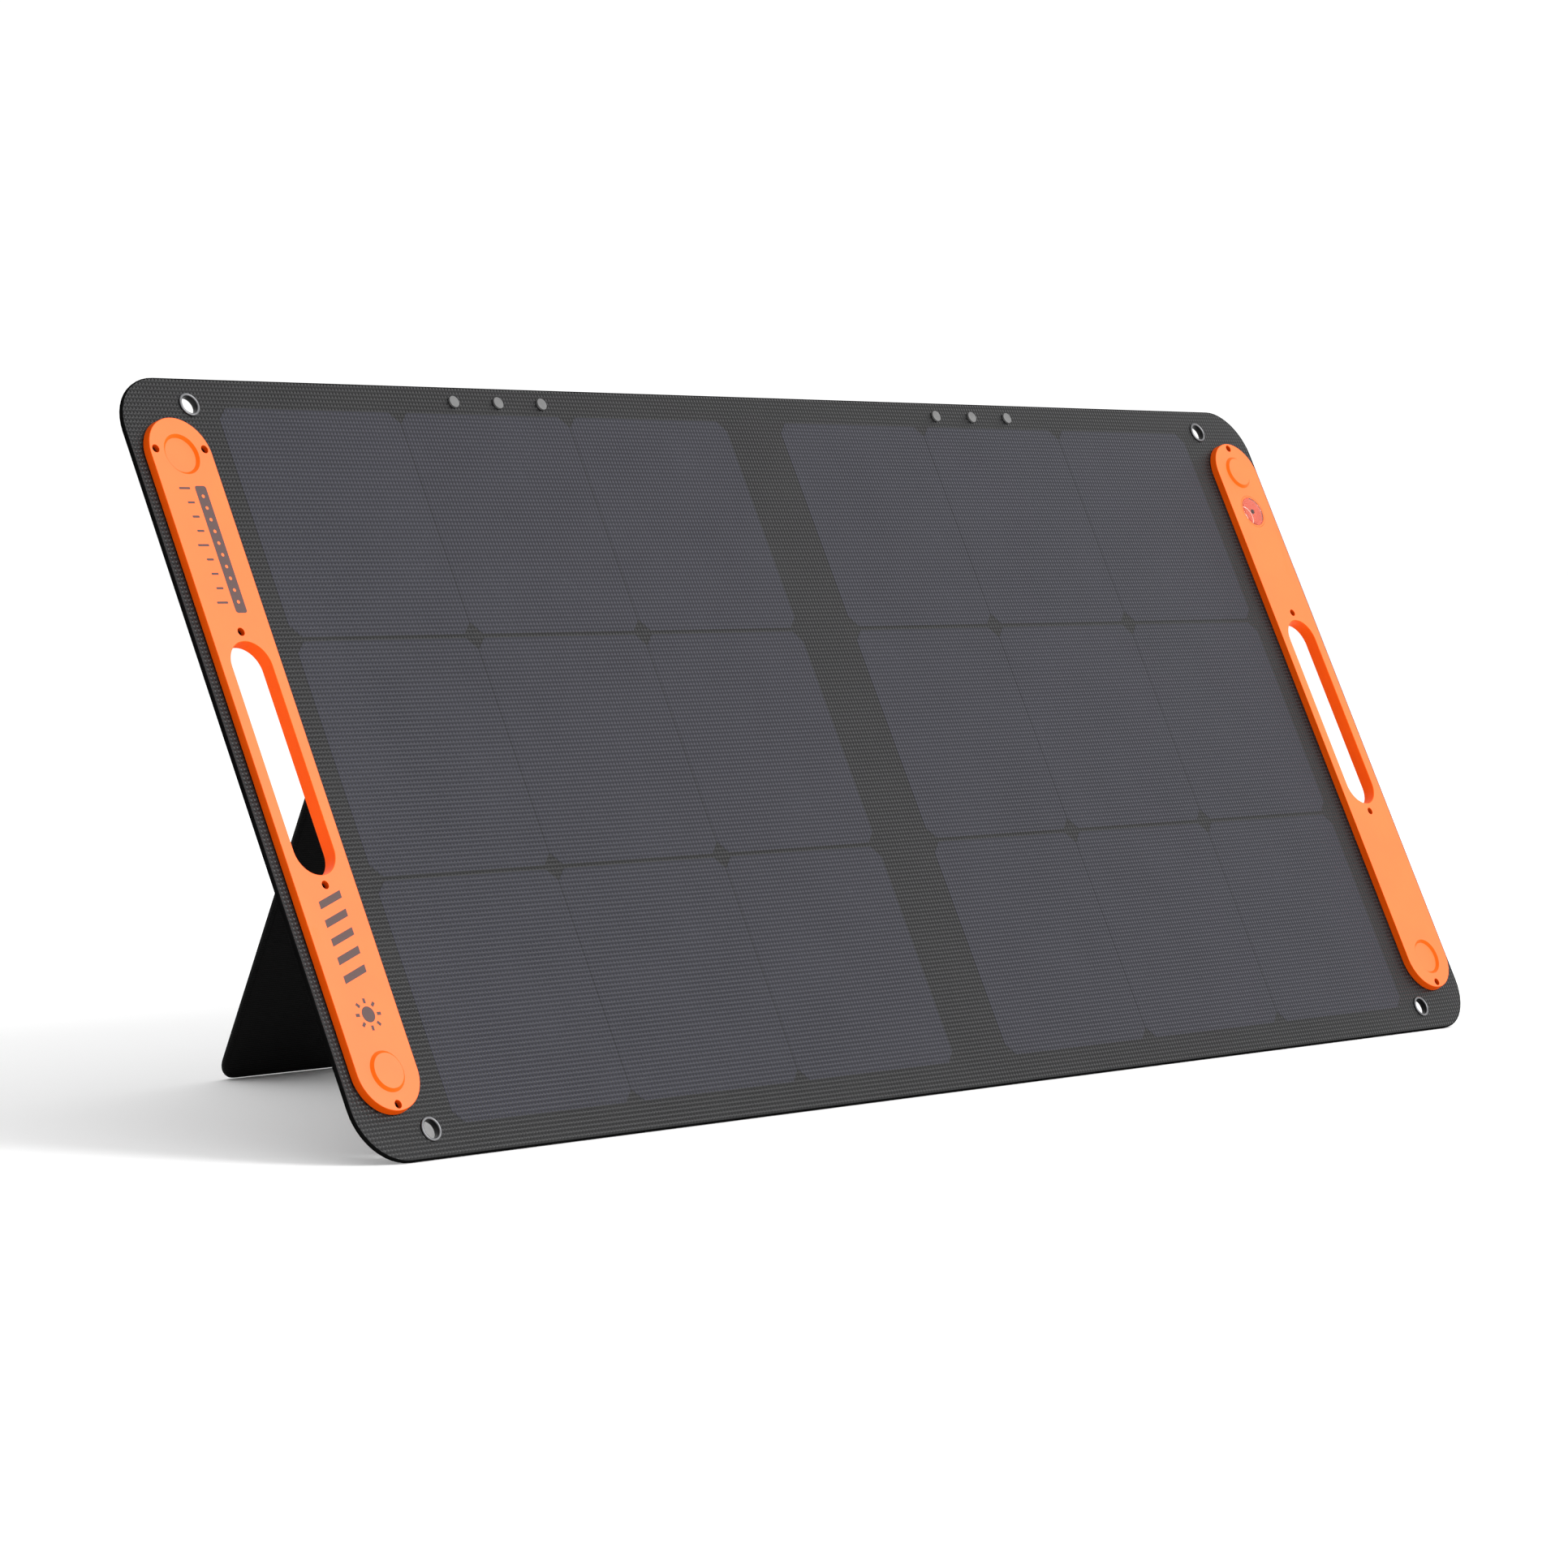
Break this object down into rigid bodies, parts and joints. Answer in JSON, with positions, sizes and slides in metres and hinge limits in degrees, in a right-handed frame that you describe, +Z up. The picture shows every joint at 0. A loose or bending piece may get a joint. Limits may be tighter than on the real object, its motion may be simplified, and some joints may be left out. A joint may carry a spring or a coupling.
{
  "type": "folding solar panel",
  "caption": "Folding portable solar panel, two rigid halves with moulded orange handle bars, standing open on two hinged kickstands, with a zipped rear pocket.",
  "frame": {"origin": "on the ground at the bottom centre of the standing object: midway between the outer side edges, and midway between the lower front edge and the back of the stand feet", "axes": "+X along the panel width, to the right seen from the front; +Y towards the stand feet, so the cells face -Y and up; +Z up"},
  "size_m": [1.22, 0.4482, 0.4888],
  "materials": {
    "laminate": "dark grey film embossed all over with a fine square grid of dots, satin",
    "solar_cell": "bluish dark grey monocrystalline cell under the embossed film",
    "stiff_board": "stiff fibreglass sheet, matt",
    "back_fabric": "black coated polyester weave",
    "stand_fabric": "black finely ribbed woven cover",
    "handle_orange": "bright orange moulded plastic, fine satin texture",
    "magnet": "nickel plated disc",
    "black_screw": "black oxide",
    "rivet_metal": "dull grey",
    "grommet_steel": "polished steel",
    "dial_salmon": "salmon red, satin",
    "clear_window": "clear moulded window",
    "black_plastic": "black moulded plastic",
    "slider_metal": "gunmetal lacquer",
    "circuit_board": "green solder mask",
    "socket_steel": "plated steel shell"
  },
  "bodies": {
    "left_half": {"left_front_laminate": "laminate", "left_cell_string": "solar_cell", "left_backing_board": "stiff_board", "left_rear_fabric": "back_fabric", "left_handle_front": "handle_orange", "left_handle_rear": "black_plastic", "left_hinge_strap": "stand_fabric", "left_upper_magnet": "magnet", "left_lower_magnet": "magnet", "left_handle_screw_1": "black_screw", "left_handle_screw_2": "black_screw", "left_handle_screw_3": "black_screw", "left_handle_screw_4": "black_screw", "left_handle_screw_5": "black_screw", "left_rivet_1": "rivet_metal", "left_rivet_2": "rivet_metal", "left_rivet_3": "rivet_metal", "left_upper_grommet": "grommet_steel", "left_lower_grommet": "grommet_steel"},
    "fold_spine": {"fold_front_laminate": "laminate", "fold_rear_fabric": "back_fabric"},
    "right_half": {"right_front_laminate": "laminate", "right_cell_string": "solar_cell", "right_backing_board": "stiff_board", "right_rear_fabric": "back_fabric", "right_handle_front": "handle_orange", "right_handle_rear": "black_plastic", "right_hinge_strap": "stand_fabric", "right_upper_magnet": "magnet", "right_lower_magnet": "magnet", "right_handle_screw_1": "black_screw", "right_handle_screw_2": "black_screw", "right_handle_screw_3": "black_screw", "right_handle_screw_4": "black_screw", "right_rivet_1": "rivet_metal", "right_rivet_2": "rivet_metal", "right_rivet_3": "rivet_metal", "right_upper_grommet": "grommet_steel", "right_lower_grommet": "grommet_steel", "sun_dial_bezel": "handle_orange", "sun_dial_face": "dial_salmon", "sun_dial_window": "clear_window", "sun_dial_pin": "black_plastic", "rear_pocket": "back_fabric", "pocket_zip": "black_plastic", "output_box_base": "black_plastic", "output_box_cover": "black_plastic", "output_circuit_board": "circuit_board", "usb_a_socket": "socket_steel", "usb_c_socket": "socket_steel", "cable_gland": "black_plastic"},
    "left_stand": {"left_stand_sleeve": "stand_fabric", "left_stand_core": "stiff_board"},
    "right_stand": {"right_stand_sleeve": "stand_fabric", "right_stand_core": "stiff_board"},
    "zip_slider": {"zip_slider": "slider_metal"},
    "zip_pull": {"zip_pull": "black_plastic"}
  },
  "joints": [
    {"name": "fold_left_hinge", "type": "hinge", "parent": "left_half", "child": "fold_spine", "pos_m": [-0.0062, -0.10658, 0.24518], "axis": [0, -0.4354, -0.9002], "range_deg": [0, 90]},
    {"name": "fold_right_hinge", "type": "hinge", "parent": "fold_spine", "child": "right_half", "pos_m": [0.0062, -0.10658, 0.24518], "axis": [0, -0.4354, -0.9002], "range_deg": [0, 90]},
    {"name": "left_stand_hinge", "type": "hinge", "parent": "left_half", "child": "left_stand", "pos_m": [-0.26, 0.00726, 0.47116], "axis": [1, 0, 0], "range_deg": [-50.1, 0]},
    {"name": "right_stand_hinge", "type": "hinge", "parent": "right_half", "child": "right_stand", "pos_m": [0.26, 0.00726, 0.47116], "axis": [1, 0, 0], "range_deg": [-50.1, 0]},
    {"name": "zip_slide", "type": "slide", "parent": "right_half", "child": "zip_slider", "axis": [-1, 0, 0], "range_m": [0, 0.134]},
    {"name": "zip_pull_hinge", "type": "hinge", "parent": "zip_slider", "child": "zip_pull", "pos_m": [0.504, -0.08043, 0.24253], "axis": [1, 0, 0], "range_deg": [-25, 150]}
  ]
}
